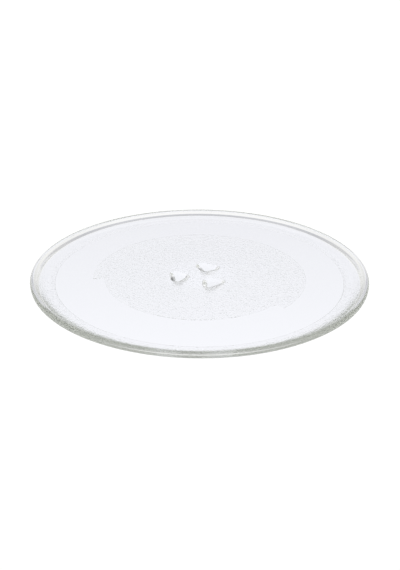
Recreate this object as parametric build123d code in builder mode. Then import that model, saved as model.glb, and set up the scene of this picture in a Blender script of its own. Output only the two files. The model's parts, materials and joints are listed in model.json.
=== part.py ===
import os
from math import asin, atan2, hypot, radians, sin, tan

from build123d import *

# Turntable plate of pressed clear glass, millimetres, +Z up.
# The spin axis is Z, and Z = 0 is the plane of the drive lugs' feet.

# Dish, as its revolved section: the widths run inwards from the outer edge
plate_diameter = 315.0
floor_thickness = 5.0
rim_width = 7.5
rim_rise = 5.2
lip_width = 4.0
lip_radius = 1.5
edge_height = 5.0
edge_radius = 1.5
flank_width = 18.5

# Roller track: a smooth land that stands proud of the textured underside
track_margin = 4.0
track_width = 35.0
track_step = 0.12

# Smooth bay that widens the track inwards along one arc
bay_width = 11.0
bay_start_angle = 177.0
bay_end_angle = 310.0
bay_corner_radius = 4.0

# Drive lugs, which stand between the wings of the drive coupler.
# Their length and width are those of the root, their two plan radii those of the foot.
lug_count = 3
lug_first_angle = 60.0
lug_pitch_radius = 18.8
lug_length = 18.0
lug_width = 23.5
lug_height = 6.0
lug_nose_radius = 4.0
lug_corner_radius = 3.1
lug_draft = 30.0
lug_root_chamfer = 0.6
lug_foot_radius = 3.5

# Levels and radii that follow from the sizes above
plate_radius = plate_diameter / 2
floor_edge = plate_radius - rim_width
base_edge = plate_radius - flank_width
track_outer = base_edge - track_margin
track_inner = track_outer - track_width
track_middle = (track_inner + track_outer) / 2
bay_inner = track_inner - bay_width
bay_span = bay_end_angle - bay_start_angle
underside = lug_height
track_face = underside - track_step
floor_top = underside + floor_thickness
lip_top = floor_top + rim_rise
edge_bottom = lip_top - edge_height
draft_run = lug_height * tan(radians(lug_draft))
root_nose_radius = lug_nose_radius + draft_run
root_corner_radius = lug_corner_radius + draft_run
corner_run = lug_length - root_nose_radius - root_corner_radius
corner_spread = lug_width / 2 - root_corner_radius
nose_turn = asin((root_nose_radius - root_corner_radius) / hypot(corner_run, corner_spread))
nose_half_angle = atan2(corner_spread, corner_run) - nose_turn
lug_back = lug_length / 2
sharp_nose = lug_back - lug_length - root_nose_radius * (1 / sin(nose_half_angle) - 1)
sharp_corner = (lug_back - sharp_nose) * tan(nose_half_angle)

# One drive lug about its own middle: a blunt wedge with its nose towards -X,
# drafted from its root so that it leaves the mould
with BuildPart() as drive_lug:
    with BuildSketch() as lug_plan:
        with BuildLine():
            Polyline((sharp_nose, 0), (lug_back, sharp_corner), (lug_back, -sharp_corner), close=True)
        make_face()
        fillet(lug_plan.vertices().sort_by(Axis.X)[0], root_nose_radius)
        fillet(lug_plan.vertices().group_by(Axis.X)[-1], root_corner_radius)
    extrude(amount=lug_height)
    draft(drive_lug.faces().sort_by(Axis.Z)[1:-1], Plane.XY.offset(underside), -lug_draft)
    fillet(drive_lug.faces().sort_by(Axis.Z)[0].edges(), lug_foot_radius)

# Plan of the roller track without its bay
with BuildSketch() as track_ring:
    Circle(track_outer)
    Circle(track_inner, mode=Mode.SUBTRACT)

with BuildPart() as glass_plate:
    # The dish: flat floor, flared wall, rounded lip and curved flank, revolved about the spin axis
    with BuildSketch(Plane.XZ):
        with BuildLine():
            rim = FilletPolyline(
                (plate_radius, edge_bottom),
                (plate_radius, lip_top),
                (plate_radius - lip_width, lip_top),
                (floor_edge, floor_top),
                radius=lip_radius,
            )
            floor_line = Line(rim @ 1, (0, floor_top))
            axis_line = Line(floor_line @ 1, (0, underside))
            base_line = Line(axis_line @ 1, (base_edge, underside))
            TangentArc(base_line @ 1, rim @ 0, tangent=base_line % 1)
        dish = make_face()
        fillet(dish.vertices().group_by(Axis.X)[-1].sort_by(Axis.Y)[0], edge_radius)
    revolve(axis=Axis.Z)

    # The drive lugs, with their noses to the axis
    with PolarLocations(lug_pitch_radius, lug_count, lug_first_angle):
        add(drive_lug.part)
    chamfer(glass_plate.edges(Select.LAST).group_by(Axis.Z)[-1], lug_root_chamfer)

    # The roller track, a flat ring with its bay
    with BuildSketch(Plane.XY.offset(track_face)):
        with BuildLine():
            bay_edge = CenterArc((0, 0), bay_inner, bay_start_angle, bay_span)
            bay_root = CenterArc((0, 0), track_middle, bay_start_angle, bay_span)
            Line(bay_edge @ 0, bay_root @ 0)
            Line(bay_edge @ 1, bay_root @ 1)
        bay = make_face()
        fillet(bay.vertices().sort_by_distance((0, 0, 0))[:2], bay_corner_radius)
        add(track_ring.sketch)
    extrude(amount=track_step)

glass_plate.part.label = "glass_plate"

os.makedirs("parts", exist_ok=True)
export_step(glass_plate.part, "parts/glass_plate.step")
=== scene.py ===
import json
import math

import bmesh
import bpy
from mathutils import Matrix, Vector


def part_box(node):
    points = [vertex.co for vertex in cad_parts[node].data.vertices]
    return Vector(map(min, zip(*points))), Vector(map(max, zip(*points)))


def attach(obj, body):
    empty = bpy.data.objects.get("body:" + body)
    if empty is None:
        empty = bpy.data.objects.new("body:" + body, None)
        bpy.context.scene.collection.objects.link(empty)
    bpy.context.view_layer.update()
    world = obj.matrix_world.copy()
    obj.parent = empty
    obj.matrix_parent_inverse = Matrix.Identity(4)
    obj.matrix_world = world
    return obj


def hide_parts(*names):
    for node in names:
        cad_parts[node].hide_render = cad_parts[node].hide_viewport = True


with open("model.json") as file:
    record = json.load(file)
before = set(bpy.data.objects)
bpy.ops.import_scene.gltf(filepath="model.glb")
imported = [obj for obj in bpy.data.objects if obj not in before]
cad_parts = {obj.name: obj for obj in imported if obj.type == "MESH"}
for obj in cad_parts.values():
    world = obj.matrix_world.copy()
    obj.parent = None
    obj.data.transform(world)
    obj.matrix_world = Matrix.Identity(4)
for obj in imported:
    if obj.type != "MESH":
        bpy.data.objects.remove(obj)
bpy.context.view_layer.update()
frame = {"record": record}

scene = bpy.context.scene
mm = 0.001
noiseSwing = 4.0         # depths from the lowest to the highest value that a noise could have

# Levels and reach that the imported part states
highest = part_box("glass_plate")[1]
mounts = {mount["name"]: mount for mount in frame["record"]["mounts"]}
lipTop = highest.z / mm
floorTop = mounts["dish_floor"]["pos_m"][2] / mm
trackFace = mounts["roller_track"]["pos_m"][2] / mm
trackMiddle = mounts["roller_track"]["pos_m"][0] / mm
lugPitch = abs(mounts["lug_foot"]["pos_m"][0]) / mm
print("frame loaded, lip", round(lipTop, 2), "floor", round(floorTop, 2), "track", round(trackFace, 2))


# sRGB hex to the linear colour that Blender's sockets take
def linear(hexColour):
    channels = [int(hexColour[i:i + 2], 16) / 255 for i in (1, 3, 5)]
    return (*[c / 12.92 if c <= 0.04045 else ((c + 0.055) / 1.055) ** 2.4 for c in channels], 1.0)


# Adds a node: settings are its properties, inputs its sockets by name or number,
# each a value or a socket to link
def addNode(tree, kind, settings=None, inputs=None):
    node = tree.nodes.new(kind)
    for name, value in (settings or {}).items():
        setattr(node, name, value)
    for name, value in (inputs or {}).items():
        if isinstance(value, bpy.types.NodeSocket):
            tree.links.new(value, node.inputs[name])
        else:
            node.inputs[name].default_value = value
    return node


def addObject(name, mesh):
    obj = bpy.data.objects.new(name, mesh)
    scene.collection.objects.link(obj)
    return obj


# What a user would change on the dish, in millimetres
dishSizes = {
    "radius": 157.5,
    "thickness": 5.0,
    "rimWidth": 7.5,          # outer edge to the floor's corner
    "lipWidth": 4.0,
    "lipRound": 1.95,
    "edgeHeight": 5.0,
    "edgeRound": 2.6,
    "floorRound": 1.2,
    "flankWidth": 18.5,       # outer edge to the flat of the underside
    "flankSlope": 25.0,       # degrees, where the flank meets the outer edge
    "trackWidth": 35.0,
    "trackStep": 0.12,
    "trackBlend": 0.12,       # width of the step at the track's edges
    "bayWidth": 11.0,
    "bayStart": 177.0,        # degrees
    "bayEnd": 310.0,
    "bayCorner": 4.0,
    "bayBlend": 0.1,          # half the width of the step at the bay's edge
    "stipplePitch": 0.95,     # mesh spacing where the mould is stippled
    "flankStipple": 0.85,     # strength just outside the track, with 1 inside it
    "edgeStipple": 0.05,      # and at the foot of the outer edge
    "landPitch": 8.0,         # mesh spacing on the smooth track
    "weld": 0.005,            # points nearer than this become one
    "segments": 540,
}


# Corner points of a line with a rounding at each: (r, z, rounding), as points on the line and its arcs
def roundedLine(corners, arcStep=math.radians(9)):
    points = [Vector(corners[0][:2])]
    for before, here, after in zip(corners, corners[1:], corners[2:]):
        corner = Vector(here[:2])
        toBefore = (Vector(before[:2]) - corner).normalized()
        toAfter = (Vector(after[:2]) - corner).normalized()
        turn = math.pi - toBefore.angle(toAfter)
        run = here[2] * math.tan(turn / 2)
        centre = corner + (toBefore + toAfter).normalized() * here[2] / math.cos(turn / 2)
        steps = max(1, math.ceil(turn / arcStep))
        start = corner + toBefore * run - centre
        side = 1 if start.cross(corner + toAfter * run - centre) > 0 else -1
        for i in range(steps + 1):
            points.append(centre + Matrix.Rotation(side * turn * i / steps, 2) @ start)
    points.append(Vector(corners[-1][:2]))
    return points


# The dish's section from the middle of the underside, out, over the lip and back to the middle:
# points (r, z, stipple)
def dishSection(s):
    underside = floorTop - s["thickness"]
    baseEdge = s["radius"] - s["flankWidth"]
    floorEdge = s["radius"] - s["rimWidth"]
    edgeBottom = lipTop - s["edgeHeight"]
    trackInner = trackMiddle - s["trackWidth"] / 2
    trackOuter = trackMiddle + s["trackWidth"] / 2
    blend = s["trackBlend"]
    pitch = s["stipplePitch"]
    section = []

    def flat(start, end, z, weight, spacing):
        count = max(1, round((end - start) / spacing))
        for i in range(count + 1):
            section.append((start + (end - start) * i / count, z, weight))

    bayInner = trackInner - s["bayWidth"]
    land = underside - s["trackStep"]
    flat(0, bayInner - 2 * blend, underside, 1, pitch)
    flat(bayInner - blend, trackInner - 2 * blend, underside, 1, pitch)
    section.append((trackInner - blend, underside, 1))
    section.append((trackInner, land, 0))
    flat(trackInner + blend, trackOuter - blend, land, 0, s["landPitch"])
    section.append((trackOuter, land, 0))
    section.append((trackOuter + blend, underside, 0))
    flat(trackOuter + 2 * blend, baseEdge, underside, s["flankStipple"], pitch)
    rise = edgeBottom - underside
    steepest = math.radians(s["flankSlope"])
    bend = (s["flankWidth"] * math.tan(steepest) - rise) / (math.tan(steepest) - math.tan(steepest / 2))
    bendRadius = bend / math.sin(steepest)
    count = round(s["flankWidth"] / pitch)
    for i in range(1, count - 1):
        along = s["flankWidth"] * i / count
        climb = rise - (s["flankWidth"] - along) * math.tan(steepest)
        if along < bend:
            climb = bendRadius - math.sqrt(bendRadius ** 2 - along ** 2)
        weight = s["edgeStipple"] + (s["flankStipple"] - s["edgeStipple"]) * (1 - i / count) ** 2
        section.append((baseEdge + along, underside + climb, weight))
    rim = roundedLine([
        (section[-1][0], section[-1][1], 0),
        (s["radius"], edgeBottom, s["edgeRound"]),
        (s["radius"], lipTop, s["lipRound"]),
        (s["radius"] - s["lipWidth"], lipTop, s["lipRound"]),
        (floorEdge, floorTop, s["floorRound"]),
        (floorEdge - 3 * s["floorRound"], floorTop, 0),
    ])
    section.extend((point.x, point.y, 0) for point in rim[1:])
    section.append((floorEdge / 2, floorTop, 0))
    section.append((0, floorTop, 0))
    return section


# The section as a chain of edges, with how strongly each of its points is stippled
def sectionObject(section):
    mesh = bpy.data.meshes.new("dishSection")
    links = [(i, i + 1) for i in range(len(section) - 1)]
    mesh.from_pydata([(r * mm, 0, z * mm) for r, z, weight in section], links, [])
    weights = mesh.attributes.new("stipple", "FLOAT", "POINT")
    weights.data.foreach_set("value", [float(weight) for r, z, weight in section])
    return addObject("turntablePlate", mesh)


section = dishSection(dishSizes)
plate = sectionObject(section)
print("section drawn,", len(section), "points")

# What a user would change on one drive lug, in millimetres, with its plan as it is at the root
lugSizes = {
    "length": 18.0,
    "width": 23.5,
    "noseRadius": 7.5,
    "cornerRadius": 6.6,
    "draft": 30.0,            # degrees
    "rootRound": 0.6,
    "footRound": 3.5,
    "leastRadius": 0.05,      # of a plan corner, however far the wall is drawn in
    "arcPoints": 14,
}


# One lug about its own middle, nose towards -X: rings of the same rounded wedge,
# drawn in as the draft goes down
def lugMesh(s):
    underside = floorTop - dishSizes["thickness"]
    cornerX = s["length"] / 2 - s["cornerRadius"]
    cornerY = s["width"] / 2 - s["cornerRadius"]
    centres = [
        (Vector((cornerX, cornerY)), s["cornerRadius"]),
        (Vector((s["noseRadius"] - s["length"] / 2, 0)), s["noseRadius"]),
        (Vector((cornerX, -cornerY)), s["cornerRadius"]),
    ]
    spread = centres[0][0] - centres[1][0]
    lean = math.asin((s["noseRadius"] - s["cornerRadius"]) / spread.length)
    sideNormal = math.pi / 2 + math.atan2(spread.y, spread.x) - lean
    fullTurn = 2 * math.pi
    spans = [(0, sideNormal), (sideNormal, fullTurn - sideNormal), (fullTurn - sideNormal, fullTurn)]
    draftRun = underside * math.tan(math.radians(s["draft"]))
    wall = roundedLine([
        (-4 * s["rootRound"], underside, 0),
        (0, underside, s["rootRound"]),
        (draftRun, 0, s["footRound"]),
        (s["cornerRadius"], 0, 0),
    ])
    wall[0] = Vector((wall[1].x, underside + s["rootRound"]))
    built = bmesh.new()
    rings = []
    for inset, z in wall:
        ring = []
        for (centre, radius), (start, end) in zip(centres, spans):
            for i in range(s["arcPoints"] + 1):
                angle = start + (end - start) * i / s["arcPoints"]
                reach = max(radius - inset, s["leastRadius"])
                point = centre + Vector((math.cos(angle), math.sin(angle))) * reach
                ring.append(built.verts.new((point.x * mm, point.y * mm, z * mm)))
        rings.append(ring)
    for upper, lower in zip(rings, rings[1:]):
        for i in range(len(upper)):
            j = (i + 1) % len(upper)
            built.faces.new((upper[i], lower[i], lower[j], upper[j]))
    built.faces.new(rings[0])
    built.faces.new(list(reversed(rings[-1])))
    bmesh.ops.recalc_face_normals(built, faces=built.faces)
    mesh = bpy.data.meshes.new("driveLug")
    built.to_mesh(mesh)
    built.free()
    return mesh


lug = addObject("driveLug", lugMesh(lugSizes))
print("lug made,", len(lug.data.polygons), "faces")

# What a user would change on the pressed pattern and the lugs' ring
plateInputs = {
    "Segments": dishSizes["segments"],
    "Grain": 2.4 * mm,
    "Depth": 0.055 * mm,
    "Seed": 7.0,
    "Bay inner": (trackMiddle - dishSizes["trackWidth"] / 2 - dishSizes["bayWidth"]) * mm,
    "Bay outer": (trackMiddle - dishSizes["trackWidth"] / 2) * mm,
    "Bay start": math.radians(dishSizes["bayStart"]),
    "Bay end": math.radians(dishSizes["bayEnd"]),
    "Bay corner": dishSizes["bayCorner"] * mm,
    "Bay drop": dishSizes["trackStep"] * mm,
    "Bay blend": dishSizes["bayBlend"] * mm,
    "Weld": dishSizes["weld"] * mm,
    "Lug count": 3,
    "Lug pitch": lugPitch * mm,
    "Lug angle": math.radians(60),
    "Lug": lug,
}


# Turns the section about Z, presses the stipple and the bay into the underside and joins the lugs
def plateTree(glass):
    tree = bpy.data.node_groups.new("pressedPlate", "GeometryNodeTree")
    tree.interface.new_socket("Geometry", in_out="INPUT", socket_type="NodeSocketGeometry")
    tree.interface.new_socket("Geometry", in_out="OUTPUT", socket_type="NodeSocketGeometry")
    for name, value in plateInputs.items():
        kind = {int: "NodeSocketInt", float: "NodeSocketFloat"}.get(type(value), "NodeSocketObject")
        tree.interface.new_socket(name, in_out="INPUT", socket_type=kind)
    given = addNode(tree, "NodeGroupInput").outputs

    def maths(operation, first, second=0.0, third=0.0):
        node = addNode(tree, "ShaderNodeMath", {"operation": operation}, {0: first, 1: second, 2: third})
        return node.outputs[0]

    # Grid of section points by turns, wrapped round the spin axis
    size = addNode(tree, "GeometryNodeAttributeDomainSize", None, {"Geometry": given["Geometry"]})
    columns = maths("ADD", given["Segments"], 1.0)
    grid = addNode(tree, "GeometryNodeMeshGrid", None,
                   {"Vertices X": size.outputs["Point Count"], "Vertices Y": columns})
    index = addNode(tree, "GeometryNodeInputIndex").outputs[0]
    ring = maths("FLOOR", maths("DIVIDE", maths("ADD", index, 0.5), columns))
    column = maths("SUBTRACT", index, maths("MULTIPLY", ring, columns))
    turn = maths("MULTIPLY", maths("DIVIDE", column, given["Segments"]), 2 * math.pi)
    place = addNode(tree, "GeometryNodeInputPosition").outputs[0]
    sectionPoint = addNode(tree, "GeometryNodeSampleIndex", {"data_type": "FLOAT_VECTOR"},
                           {"Geometry": given["Geometry"], "Value": place, "Index": ring}).outputs["Value"]
    drawn = addNode(tree, "GeometryNodeInputNamedAttribute", {"data_type": "FLOAT"},
                    {"Name": "stipple"}).outputs[0]
    weight = addNode(tree, "GeometryNodeSampleIndex", {"data_type": "FLOAT"},
                     {"Geometry": given["Geometry"], "Value": drawn, "Index": ring}).outputs["Value"]
    turned = addNode(tree, "ShaderNodeVectorRotate", {"rotation_type": "Z_AXIS"},
                     {"Vector": sectionPoint, "Angle": turn}).outputs[0]

    # The smooth bay, by its distance from a rounded patch on the track's inner edge:
    # the stipple stops there and the surface drops to the track
    radius = addNode(tree, "ShaderNodeSeparateXYZ", None, {0: sectionPoint}).outputs["X"]
    fromMiddle = maths("ABSOLUTE", maths("SUBTRACT", turn, maths("MULTIPLY_ADD", given["Bay start"], 0.5,
                                                                 maths("MULTIPLY", given["Bay end"], 0.5))))
    halfSpan = maths("MULTIPLY", maths("SUBTRACT", given["Bay end"], given["Bay start"]), 0.5)
    pastEnd = maths("MULTIPLY_ADD", maths("SUBTRACT", fromMiddle, halfSpan), radius, given["Bay corner"])
    pastEdge = maths("ADD", maths("SUBTRACT", given["Bay inner"], radius), given["Bay corner"])
    outside = maths("SQRT", maths("ADD", maths("POWER", maths("MAXIMUM", pastEnd, 0.0), 2.0),
                                  maths("POWER", maths("MAXIMUM", pastEdge, 0.0), 2.0)))
    inside = maths("MINIMUM", maths("MAXIMUM", pastEnd, pastEdge), 0.0)
    distance = maths("SUBTRACT", maths("ADD", outside, inside), given["Bay corner"])
    inBay = addNode(tree, "ShaderNodeMapRange", None,
                    {"Value": distance, "From Min": given["Bay blend"],
                     "From Max": maths("MULTIPLY", given["Bay blend"], -1.0)}).outputs[0]
    inBay = maths("MULTIPLY", inBay, maths("LESS_THAN", radius, given["Bay outer"]))
    rough = maths("MULTIPLY", weight, maths("SUBTRACT", 1.0, inBay))

    # Stipple of the mould: soft random pebbles of one grain size
    fineness = maths("DIVIDE", 1.0, given["Grain"])
    grain = addNode(tree, "ShaderNodeTexNoise", {"noise_dimensions": "4D"},
                    {"Vector": turned, "W": given["Seed"], "Scale": fineness, "Detail": 1.0})
    fullDepth = maths("MULTIPLY", given["Depth"], noiseSwing)
    height = maths("MULTIPLY", maths("SUBTRACT", grain.outputs["Fac"], 0.5), fullDepth)
    drop = maths("MULTIPLY", inBay, given["Bay drop"])
    relief = maths("SUBTRACT", maths("MULTIPLY", height, rough), drop)
    lift = addNode(tree, "ShaderNodeCombineXYZ", None, {"Z": relief}).outputs[0]
    wrapped = addNode(tree, "GeometryNodeSetPosition", None,
                      {"Geometry": grid.outputs["Mesh"], "Position": turned, "Offset": lift})
    marked = addNode(tree, "GeometryNodeStoreNamedAttribute", {"data_type": "FLOAT", "domain": "POINT"},
                     {"Geometry": wrapped.outputs[0], "Name": "stipple", "Value": rough})
    closed = addNode(tree, "GeometryNodeMergeByDistance", None,
                     {"Geometry": marked.outputs[0], "Distance": given["Weld"]})
    dish = addNode(tree, "GeometryNodeFlipFaces", None, {0: closed.outputs[0]})   # the grid looks inwards

    # The lugs round the axis, noses inwards
    circle = addNode(tree, "GeometryNodeMeshCircle", None,
                     {"Vertices": given["Lug count"], "Radius": given["Lug pitch"]})
    firstTurn = addNode(tree, "ShaderNodeCombineXYZ", None, {"Z": given["Lug angle"]})
    turnedCircle = addNode(tree, "GeometryNodeTransform", None,
                           {"Geometry": circle.outputs[0], "Rotation": firstTurn.outputs[0]})
    outwards = addNode(tree, "FunctionNodeAlignRotationToVector", {"axis": "X", "pivot_axis": "Z"},
                       {"Vector": place})
    form = addNode(tree, "GeometryNodeObjectInfo", None, {"Object": given["Lug"]})
    lugs = addNode(tree, "GeometryNodeInstanceOnPoints", None,
                   {"Points": turnedCircle.outputs[0], "Instance": form.outputs["Geometry"],
                    "Rotation": outwards.outputs[0]})
    realLugs = addNode(tree, "GeometryNodeRealizeInstances", None, {0: lugs.outputs[0]})

    # One body of glass, shaded smooth all over
    joined = addNode(tree, "GeometryNodeMeshBoolean", {"operation": "UNION", "solver": "MANIFOLD"})
    tree.links.new(dish.outputs[0], joined.inputs["Mesh 2"])
    tree.links.new(realLugs.outputs[0], joined.inputs["Mesh 2"])
    smooth = addNode(tree, "GeometryNodeSetShadeSmooth", {"domain": "FACE"},
                     {"Geometry": joined.outputs[0]})
    real = addNode(tree, "GeometryNodeRealizeInstances", None, {0: smooth.outputs[0]})
    dressed = addNode(tree, "GeometryNodeSetMaterial", None,
                      {"Geometry": real.outputs[0], "Material": glass})
    addNode(tree, "NodeGroupOutput", None, {"Geometry": dressed.outputs[0]})
    return tree


# Runs a tree on an object and leaves its result as a plain mesh
def press(obj, tree, inputs):
    modifier = obj.modifiers.new("pressed", "NODES")
    modifier.node_group = tree
    sockets = {item.name: item.identifier for item in tree.interface.items_tree if item.in_out == "INPUT"}
    for name, value in inputs.items():
        modifier[sockets[name]] = value
    bpy.context.view_layer.update()
    evaluated = obj.evaluated_get(bpy.context.evaluated_depsgraph_get())
    mesh = bpy.data.meshes.new_from_object(evaluated)
    obj.modifiers.remove(modifier)
    obj.data = mesh


# Takes out the points that join only two edges and the edges of no length, which the joining leaves
# round the lugs and which would be folded slivers as triangles
def cleanSeam(mesh, shortest=0.002 * mm):
    built = bmesh.new()
    built.from_mesh(mesh)
    bmesh.ops.dissolve_degenerate(built, dist=shortest, edges=built.edges)
    bmesh.ops.dissolve_verts(built, verts=[point for point in built.verts if len(point.link_edges) == 2])
    built.to_mesh(mesh)
    built.free()


# What a user would change on the glass
glassLook = {
    "ior": 1.52,
    "roughness": 0.0,
    "body": "#e8eae4",        # what a thick layer lets through
    "density": 6.1,
    "grainSize": 1.6,         # mm between the grains of the mould's skin
    "grainDepth": 0.062,      # mm
}


# Soda-lime glass, pressed and fire-polished: water-white on the flat and grey-green where it is looked
# through edgewise, with a mirror-like skin that breaks into fine grain where the mould was stippled
def clearGlass(s):
    glass = bpy.data.materials.new("sodaLimeGlass")
    glass.use_nodes = True
    tree = glass.node_tree
    skin = tree.nodes["Principled BSDF"]
    skin.inputs["Base Color"].default_value = linear("#ffffff")
    skin.inputs["Transmission Weight"].default_value = 1.0
    skin.inputs["IOR"].default_value = s["ior"]
    skin.inputs["Roughness"].default_value = s["roughness"]
    place = addNode(tree, "ShaderNodeTexCoord").outputs["Object"]
    grain = addNode(tree, "ShaderNodeTexNoise", None,
                    {"Vector": place, "Scale": 1 / (s["grainSize"] * mm), "Detail": 1.0})
    where = addNode(tree, "ShaderNodeAttribute", {"attribute_name": "stipple"})
    height = addNode(tree, "ShaderNodeMath", {"operation": "MULTIPLY"},
                     {0: grain.outputs["Fac"], 1: where.outputs["Fac"]})
    relief = addNode(tree, "ShaderNodeBump", None,
                     {"Height": height.outputs[0], "Distance": noiseSwing * s["grainDepth"] * mm})
    tree.links.new(relief.outputs[0], skin.inputs["Normal"])
    body = addNode(tree, "ShaderNodeVolumeAbsorption", None,
                   {"Color": linear(s["body"]), "Density": s["density"]})
    tree.links.new(body.outputs[0], tree.nodes["Material Output"].inputs["Volume"])
    return glass


glass = clearGlass(glassLook)
press(plate, plateTree(glass), plateInputs)
cleanSeam(plate.data)
bpy.data.objects.remove(lug)
print("plate pressed,", len(plate.data.polygons), "faces,", len(plate.data.loop_triangles), "triangles")
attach(plate, "root")
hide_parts("glass_plate")

# The photograph's viewpoint: scale is pixels for one plate radius at the plate's middle
view = {
    "azimuth": -8.0,
    "elevation": 25.03,
    "roll": 0.29,
    "distance": 5.24,         # plate radii
    "scale": 166.69,
    "middle": (199.59, 273.65),
    "frame": (400, 570),
    "sensor": 36.0,           # mm
    "nearest": 0.01,          # metres
}


# The level direction that the camera looks in, and the one to its right
def viewLine():
    azimuth = math.radians(view["azimuth"])
    return (-math.sin(azimuth), math.cos(azimuth), 0), (math.cos(azimuth), math.sin(azimuth), 0)


# Colours of a ramp: (position, sRGB hex)
def setStops(ramp, stops):
    elements = ramp.color_ramp.elements
    elements.remove(elements[1])
    for i, (position, colour) in enumerate(stops):
        element = elements[0] if i == 0 else elements.new(position)
        element.position = position
        element.color = linear(colour)


# Studio floor, in metres: a white light table, which the camera sees as plain white. To bent light it shows
# painted light and shade:
# a painted pool of bluish light under the plate, the plate's painted shadow round its front half and
# painted shade further off
tableLook = {
    "radius": 1.2,
    "segments": 96,
    "gap": 0.0002,
    "brightness": 1.05,
    # middle and lit: a painted pool of bluish light on the table under the plate
    "middle": "#f8f9ff",
    "lit": "#f4f5fa",
    "middleRadius": 0.022,    # the middle colour ends here
    "middleFade": 0.040,      # the lit colour is full here
    "shadowSetBack": 0.016,         # the painted light and shadow are centred this far beyond the spin axis
    "litRadius": 0.150,       # the lit colour ends here
    "shadowFullRadius": 0.160,     # the plate's painted shadow round it is full here
    "farRadius": 0.450,       # the painted shade far off is full here
    # round: the plate's painted shadow on the table, from its front (0) to its back (1)
    "round": [(0.0, "#ececea"), (0.40, "#d8d8d6"), (0.5, "#e6e6e4"), (0.62, "#f4f4f2"), (1.0, "#f4f4f4")],
    # far: painted shade, the table dimmer further off
    "far": "#d2d3d7",
}


def lightTable(s):
    built = bmesh.new()
    bmesh.ops.create_circle(built, cap_ends=True, radius=s["radius"], segments=s["segments"])
    mesh = bpy.data.meshes.new("lightTable")
    built.to_mesh(mesh)
    built.free()
    mesh.transform(Matrix.Translation((0, 0, -s["gap"])))
    paper = bpy.data.materials.new("backlitPaperPaintedShade")   # white acrylic lit from below, which the camera sees even; to bent light it carries painted light and shade
    paper.use_nodes = True
    tree = paper.node_tree
    skin = tree.nodes["Principled BSDF"]
    skin.inputs["Base Color"].default_value = linear("#000000")
    skin.inputs["Specular IOR Level"].default_value = 0.0
    skin.inputs["Emission Strength"].default_value = s["brightness"]
    ahead = Vector(viewLine()[0])
    onTable = addNode(tree, "ShaderNodeTexCoord").outputs["Object"]
    place = addNode(tree, "ShaderNodeVectorMath", {"operation": "SUBTRACT"},
                    {0: onTable, 1: ahead * s["shadowSetBack"]}).outputs[0]
    reach = addNode(tree, "ShaderNodeVectorMath", {"operation": "LENGTH"}, {0: place}).outputs["Value"]
    outwards = addNode(tree, "ShaderNodeVectorMath", {"operation": "NORMALIZE"}, {0: place}).outputs[0]
    away = addNode(tree, "ShaderNodeVectorMath", {"operation": "DOT_PRODUCT"},
                   {0: outwards, 1: ahead}).outputs["Value"]
    # The plate's painted shadow: the ramp darkens the table from the plate's front round to its sides
    frontToBack = addNode(tree, "ShaderNodeMapRange", None, {"Value": away, "From Min": -1.0}).outputs[0]
    ramp = addNode(tree, "ShaderNodeValToRGB", None, {"Fac": frontToBack})
    setStops(ramp, s["round"])
    colour = linear(s["middle"])
    for start, end, outer in (("middleRadius", "middleFade", linear(s["lit"])),
                              ("litRadius", "shadowFullRadius", ramp.outputs["Color"]),
                              ("shadowFullRadius", "farRadius", linear(s["far"]))):
        share = addNode(tree, "ShaderNodeMapRange", {"interpolation_type": "SMOOTHSTEP"},
                        {"Value": reach, "From Min": s[start], "From Max": s[end]}).outputs[0]
        colour = addNode(tree, "ShaderNodeMix", {"data_type": "RGBA"},
                         {"Factor": share, 6: colour, 7: outer}).outputs[2]
    seen = addNode(tree, "ShaderNodeLightPath").outputs["Is Camera Ray"]
    glow = addNode(tree, "ShaderNodeMix", {"data_type": "RGBA"},
                   {"Factor": seen, 6: colour, 7: linear("#ffffff")}).outputs[2]
    tree.links.new(glow, skin.inputs["Emission Color"])
    mesh.materials.append(paper)
    table = addObject("lightTable", mesh)


# Soft light all round, by degrees above the horizon: behind the camera a broad light, beyond the plate pale
# walls under a dim ceiling, and straight ahead a bluish window with a dark head
domeLook = {
    "brightness": 1.4,
    "windowHalf": (12, 17),   # degrees to each side: full inside the first, gone outside the second
    "crossing": 0.5,          # the front and back lights blend where a ray's forward part is within this
    "behindCamera": [(-90, "#c7c7c8"), (0, "#cbcbcc"), (12, "#cececf"), (24, "#d4d4d5"), (32, "#dcdcdd"),
                     (36, "#fbfbfc"), (46, "#fbfbfc"), (52, "#e1e1e2"), (66, "#c0c0c1"), (78, "#8e8e8f"),
                     (90, "#3c3c3d")],
    "besideWindow": [(-90, "#bebebf"), (0, "#c1c1c2"), (8, "#cacacb"), (14, "#bebebf"), (20, "#a0a0a1"),
                     (27, "#8e8e8f"), (34, "#8c8c8d"), (50, "#8b8b8c"), (62, "#929293"), (78, "#3c3c3d"),
                     (90, "#3c3c3d")],
    "window": [(-90, "#a1a2a7"), (6, "#b3b4b9"), (10, "#bfc0c3"), (15, "#bbbcbf"), (18, "#acadb1"),
               (21, "#afafb3"), (26, "#bfc0c4"), (31, "#d7d8dc"), (33.5, "#d7d8dc"), (36.5, "#535352"),
               (60, "#444443"), (68, "#3c3c3d"), (90, "#3c3c3d")],
}


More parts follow.
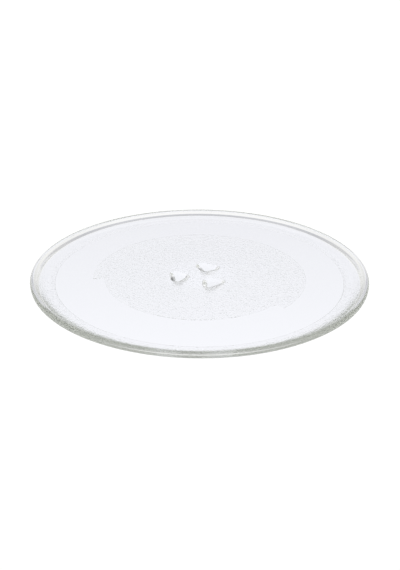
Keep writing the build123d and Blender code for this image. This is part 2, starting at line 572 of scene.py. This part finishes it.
def studio(s):
    world = bpy.data.worlds.new("studio")
    world.use_nodes = True
    scene.world = world
    tree = world.node_tree
    ahead, right = viewLine()
    ray = addNode(tree, "ShaderNodeTexCoord").outputs["Generated"]
    parts = addNode(tree, "ShaderNodeSeparateXYZ", None, {0: ray}).outputs
    height = addNode(tree, "ShaderNodeMath", {"operation": "ARCSINE"}, {0: parts["Z"]}).outputs[0]
    level = addNode(tree, "ShaderNodeMapRange", None,
                    {"Value": height, "From Min": -math.pi / 2, "From Max": math.pi / 2}).outputs[0]
    sides = {}
    for side in ("behindCamera", "besideWindow", "window"):
        ramp = addNode(tree, "ShaderNodeValToRGB", None, {"Fac": level})
        setStops(ramp, [((degrees + 90) / 180, colour) for degrees, colour in s[side]])
        sides[side] = ramp.outputs["Color"]
    forward, aside = (addNode(tree, "ShaderNodeVectorMath", {"operation": "DOT_PRODUCT"},
                              {0: ray, 1: line}).outputs["Value"] for line in (ahead, right))
    bearing = addNode(tree, "ShaderNodeMath", {"operation": "ARCTAN2"}, {0: aside, 1: forward}).outputs[0]
    offWindow = addNode(tree, "ShaderNodeMath", {"operation": "ABSOLUTE"}, {0: bearing}).outputs[0]
    full, gone = (math.radians(degrees) for degrees in s["windowHalf"])
    inWindow = addNode(tree, "ShaderNodeMapRange", {"interpolation_type": "SMOOTHSTEP"},
                       {"Value": offWindow, "From Min": gone, "From Max": full}).outputs[0]
    beyond = addNode(tree, "ShaderNodeMix", {"data_type": "RGBA"},
                     {"Factor": inWindow, 6: sides["besideWindow"], 7: sides["window"]}).outputs[2]
    across = addNode(tree, "ShaderNodeMapRange", {"interpolation_type": "SMOOTHSTEP"},
                     {"Value": forward, "From Min": -s["crossing"], "From Max": s["crossing"]}).outputs[0]
    soft = addNode(tree, "ShaderNodeMix", {"data_type": "RGBA"},
                   {"Factor": across, 6: sides["behindCamera"], 7: beyond}).outputs[2]
    seen = addNode(tree, "ShaderNodeLightPath").outputs["Is Camera Ray"]
    shown = addNode(tree, "ShaderNodeMix", {"data_type": "RGBA"},
                    {"Factor": seen, 6: soft, 7: linear("#ffffff")}).outputs[2]
    background = tree.nodes["Background"]
    tree.links.new(shown, background.inputs["Color"])
    background.inputs["Strength"].default_value = s["brightness"]


lightTable(tableLook)
studio(domeLook)


def photoCamera(v):
    data = bpy.data.cameras.new("camera")
    camera = addObject("camera", data)
    azimuth, elevation = math.radians(v["azimuth"]), math.radians(v["elevation"])
    level = math.cos(elevation)
    back = Vector((math.sin(azimuth) * level, -math.cos(azimuth) * level, math.sin(elevation)))
    stand = Vector((0, 0, floorTop * mm)) + back * v["distance"] * dishSizes["radius"] * mm
    aim = back.to_track_quat("Z", "Y").to_matrix().to_4x4()
    roll = Matrix.Rotation(math.radians(v["roll"]), 4, "Z")
    camera.matrix_world = Matrix.Translation(stand) @ aim @ roll
    width, height = v["frame"]
    data.sensor_fit = "VERTICAL"
    data.sensor_height = v["sensor"]
    data.lens = v["scale"] * v["distance"] / height * data.sensor_height
    data.shift_x = (width / 2 - v["middle"][0]) / height
    data.shift_y = (v["middle"][1] - height / 2) / height
    data.clip_start = v["nearest"]
    scene.camera = camera


photoCamera(view)
bounces = 64             # light goes round inside the rim many times before it leaves
scene.cycles.max_bounces = bounces
scene.cycles.transmission_bounces = bounces
scene.cycles.glossy_bounces = bounces
scene.view_settings.view_transform = "Standard"
print("studio lit and camera placed")
